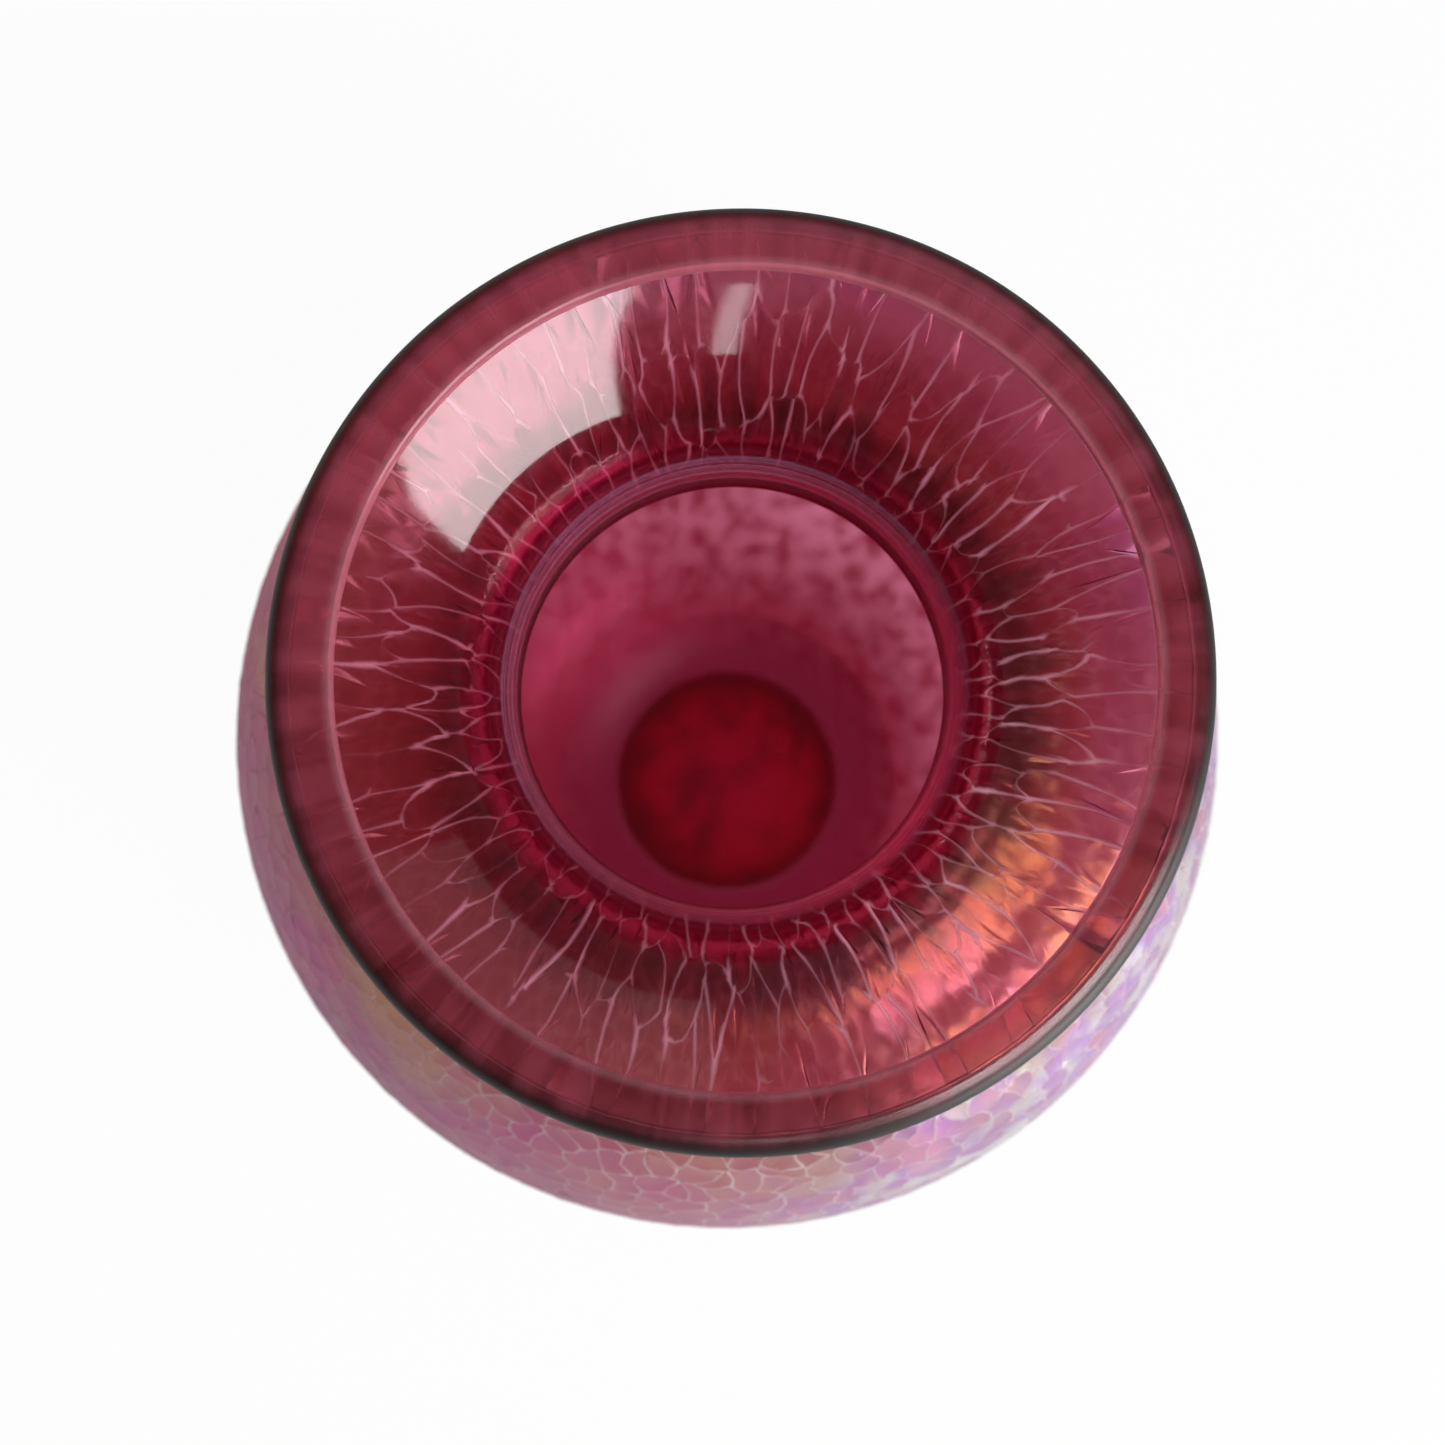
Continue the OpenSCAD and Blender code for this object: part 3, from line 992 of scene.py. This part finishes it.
class VASE_OT_crackle_skin(bpy.types.Operator):
    """Crackled lustre skin with its raised veins"""

    bl_idname = "vase.crackle_skin"
    bl_label = "Crackled skin"

    def execute(self, context):
        places, faces, vein, strength, tones, sides, ends = crackle_mesh()
        piece = new_piece("crackled_skin", hand_made(places), faces)
        give_attribute(piece, "vein", "POINT", vein)
        give_attribute(piece, "force", "POINT", strength)
        give_attribute(piece, "tone", "FACE", tones)
        finish_piece(piece, crackle_lustre(), "crackle_lustre", "crackle_skin")
        piece.data.materials.append(fused_side())
        piece.data.polygons.foreach_set("material_index", sides.astype(np.int32))
        piece.data.polygons.foreach_set("use_smooth", ~ends)
        return {"FINISHED"}


class VASE_OT_lip_wrap(bpy.types.Operator):
    """Band of glass over the end of the wall"""

    bl_idname = "vase.lip_wrap"
    bl_label = "Lip wrap"

    def execute(self, context):
        loop = section("lip_wrap")
        loop = np.roll(loop, -np.lexsort((loop[:, 1], loop[:, 0]))[0], axis=0)
        under = np.argmin(loop[:, 1])
        shown, seat = loop[:under + 1], np.vstack([loop[under:], loop[:1]])
        piece = turned("lip_band", [(shown, False), (seat, True)], 0.35 * MM)
        finish_piece(piece, lip_glass(), "lip_glass", "lip_wrap")
        return {"FINISHED"}


class VASE_OT_pontil_disc(bpy.types.Operator):
    """Polished glass in the middle of the base"""

    bl_idname = "vase.pontil_disc"
    bl_label = "Pontil disc"

    def execute(self, context):
        line = section("pontil_disc")
        line = line - np.column_stack([(line[:, 0] > PONTIL_RADIUS - 1e-5) * FUSED_GAP,
                                       (line[:, 1] > line[:, 1].max() - 1e-5) * FUSED_GAP])
        edge = np.argmin(line[:, 1])
        piece = turned("pontil_seal", [(line[:edge + 1], True), (line[edge:], False)], 0.8 * MM)
        finish_piece(piece, pontil_glass(), "pontil_glass", "pontil_disc")
        return {"FINISHED"}


class VASE_OT_stage(bpy.types.Operator):
    """Camera, lamps, floor and surroundings"""

    bl_idname = "vase.stage"
    bl_label = "Stage"

    def execute(self, context):
        aim_camera()
        lay_floor()
        light_world()
        hang_lamps()
        # Light crosses many layers of glass on its way to the floor and back.
        cycles = context.scene.cycles
        cycles.max_bounces = 24
        cycles.transmission_bounces = 24
        cycles.transparent_max_bounces = 64
        return {"FINISHED"}


def looking(place, target):
    """World matrix of a camera at a place that looks at a target, with +Y up in the picture."""
    back = (place - target).normalized()
    right = Vector((0, 1, 0)).cross(back).normalized()
    turn = Matrix((right, back.cross(right), back)).transposed()
    return Matrix.Translation(place) @ turn.to_4x4()


def aim_camera():
    """Camera that puts the middle of the lip on its pixel of the photograph, sharpest in the bell."""
    stage = settings().stage
    lip = Vector((0, 0, RIM_TOP))
    sight = Vector((math.sin(stage.tilt) * math.sin(stage.side),
                    -math.sin(stage.tilt) * math.cos(stage.side), math.cos(stage.tilt)))
    place = lip + sight * stage.reach
    turn = looking(place, lip).to_3x3()
    # The camera looks past the lip by as much as its pixel lies off the middle of the picture.
    off = Vector((stage.rim_px[0] - PHOTO_PX / 2, PHOTO_PX / 2 - stage.rim_px[1], 0))
    aim = lip - turn @ off * (stage.reach / stage.focal_px)
    focus = new_object("focus", None)
    focus.location = (0, 0, RIM_TOP + stage.focus * (NECK_HEIGHT - RIM_TOP))
    data = bpy.data.cameras.new("photo_camera")
    data.sensor_width = 36.0
    data.lens = data.sensor_width * stage.focal_px / PHOTO_PX
    data.clip_start = 0.01
    data.dof.use_dof = True
    data.dof.focus_object = focus
    data.dof.aperture_fstop = stage.f_stop
    camera = new_object("photo_camera", data)
    camera.matrix_world = looking(place, aim)
    bpy.context.scene.camera = camera


def lay_floor():
    """Pale floor that is white to the eye but keeps the shadow of the vase."""
    half, drop = 3.0, 0.15 * MM
    corners = [(-half, -half, -drop), (half, -half, -drop), (half, half, -drop), (-half, half, -drop)]
    mesh = bpy.data.meshes.new("floor")
    mesh.from_pydata(corners, [], [(0, 1, 2, 3)])
    floor = new_object("floor", mesh)
    paint = Paint.material("pale_floor")
    chalk = paint.add("ShaderNodeBsdfDiffuse", {}, (0.8, 0.8, 0.8, 1))
    white = paint.add("ShaderNodeEmission", {}, (1, 1, 1, 1), 1.0)
    in_glass = paint.ray("Is Transmission Ray") * 0.35 + paint.ray("Is Glossy Ray") * 0.35
    seen = paint.mix(in_glass, chalk, white)
    mesh.materials.append(paint.finish(paint.mix(paint.ray("Is Camera Ray") * 0.97, seen, white)))


def light_world():
    """White to the eye, and in the glass a dim studio with a pale backdrop low down."""
    world = bpy.data.worlds.new("studio")
    bpy.context.scene.world = world
    paint = Paint(world, "ShaderNodeOutputWorld")
    way = paint.add("ShaderNodeTexCoord", {}, give="Generated")
    low = 1 - paint.add("ShaderNodeSeparateXYZ", {}, way, give="Z").ramp(0.1, 0.25)
    in_glass = (paint.ray("Is Glossy Ray") + paint.ray("Is Transmission Ray")).clamp()
    strength = 0.12 + paint.ray("Is Camera Ray") * 0.88 + in_glass * (low * 0.08 - 0.08)
    paint.finish(paint.add("ShaderNodeBackground", {}, (1, 1, 1, 1), strength))


def hang_lamps():
    """Key window at the front right with a card below it, a narrow window, and a dim one behind."""
    # Name, turn about the axis, distance, half the angle across, lowest and highest angle, and brightness
    for name, side, away, half_turn, low, high, radiance in (
            ("key_window", -39.5, 0.42, 21.5, 28, 72, 8.0),
            ("front_strip", -84, 0.42, 2.5, 46, 69, 4.5),
            ("back_window", 60, 0.5, 25, 30, 70, 0.3),
            ("low_card", -38, 0.42, 22, -14, 4, 8.0)):
        turn, half_turn, low, high = (math.radians(angle) for angle in (side, half_turn, low, high))
        lamp = bpy.data.lights.new(name, "AREA")
        lamp.shape = "RECTANGLE"
        lamp.size = 2 * away * math.tan(half_turn)
        lamp.size_y = away * (math.tan(high) - math.tan(low))
        lamp.energy = radiance * math.pi * lamp.size * lamp.size_y
        lamp.color = (1.0, 0.97, 0.97)
        way = Vector((math.cos(turn), math.sin(turn), 0))
        hung = new_object(name, lamp)
        hung.location = way * away + Vector((0, 0, RIM_TOP + away * (math.tan(high) + math.tan(low)) / 2))
        hung.rotation_mode = "QUATERNION"
        hung.rotation_quaternion = (-way).to_track_quat("-Z", "Y")


class VASE_PT_sidebar(bpy.types.Panel):
    """Lists the pieces of the vase"""

    bl_idname = "VASE_PT_sidebar"
    bl_label = "Blown Glass Vase"
    bl_space_type = "VIEW_3D"
    bl_region_type = "UI"
    bl_category = "Vase"

    def draw(self, context):
        for operator in OPERATORS:
            self.layout.operator(operator.bl_idname)


OPERATORS = (VASE_OT_stage, VASE_OT_ruby_bubble, VASE_OT_crystal_casing, VASE_OT_crackle_skin,
             VASE_OT_lip_wrap, VASE_OT_pontil_disc)
CLASSES = (VaseHand, VaseCrackle, VaseGlass, VaseStage, VaseSettings, *OPERATORS, VASE_PT_sidebar)


def register():
    for kind in CLASSES:
        bpy.utils.register_class(kind)
    bpy.types.Scene.vase_settings = PointerProperty(type=VaseSettings)


def unregister():
    del bpy.types.Scene.vase_settings
    for kind in reversed(CLASSES):
        bpy.utils.unregister_class(kind)


def main():
    register()
    bpy.context.scene.view_settings.view_transform = "Standard"
    bpy.ops.vase.stage()
    bpy.ops.vase.ruby_bubble()
    bpy.ops.vase.crystal_casing()
    bpy.ops.vase.crackle_skin()
    bpy.ops.vase.lip_wrap()
    bpy.ops.vase.pontil_disc()


if __name__ == "__main__":
    main()
